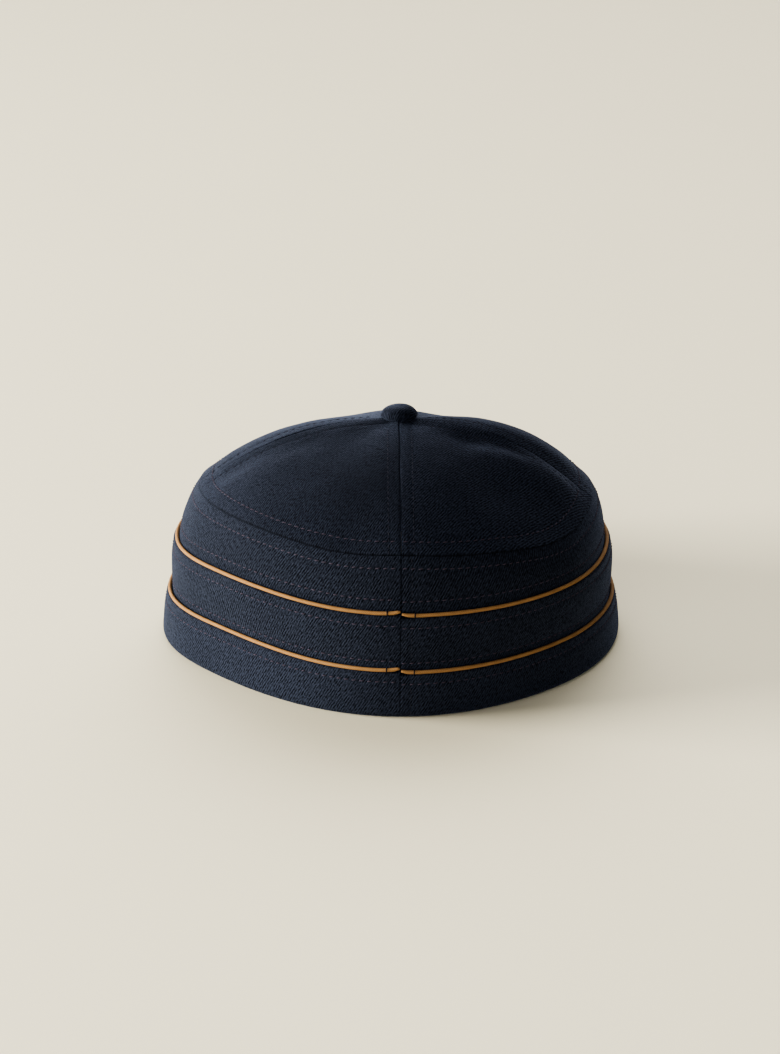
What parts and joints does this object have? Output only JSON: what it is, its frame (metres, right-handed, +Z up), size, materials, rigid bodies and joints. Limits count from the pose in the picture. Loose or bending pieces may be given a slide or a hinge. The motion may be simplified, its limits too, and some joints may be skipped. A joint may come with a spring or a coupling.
{
  "type": "painter cap",
  "caption": "Soft navy twill painter cap with a paneled domed top, a covered button, stacked bands edged in tan piping and a short stiff peak.",
  "frame": {"origin": "bottom centre of the whole cap, on the surface it stands on", "axes": "+Z up; the peak points to -Y and the back seam faces +Y; +X is the wearer's left"},
  "size_m": [0.1878, 0.238, 0.0964],
  "materials": {
    "navy_twill": "soft navy twill with a fine diagonal rib and a short nap",
    "tan_piping": "smooth tan cord covered in fine cloth"
  },
  "bodies": {
    "root": {"lower_band": "navy_twill", "lower_piping": "tan_piping", "upper_band": "navy_twill", "upper_piping": "tan_piping", "crown_wall": "navy_twill", "tip_back_left": "navy_twill", "tip_back_right": "navy_twill", "tip_front_left": "navy_twill", "tip_front_right": "navy_twill", "button": "navy_twill", "peak": "navy_twill"}
  },
  "joints": []
}
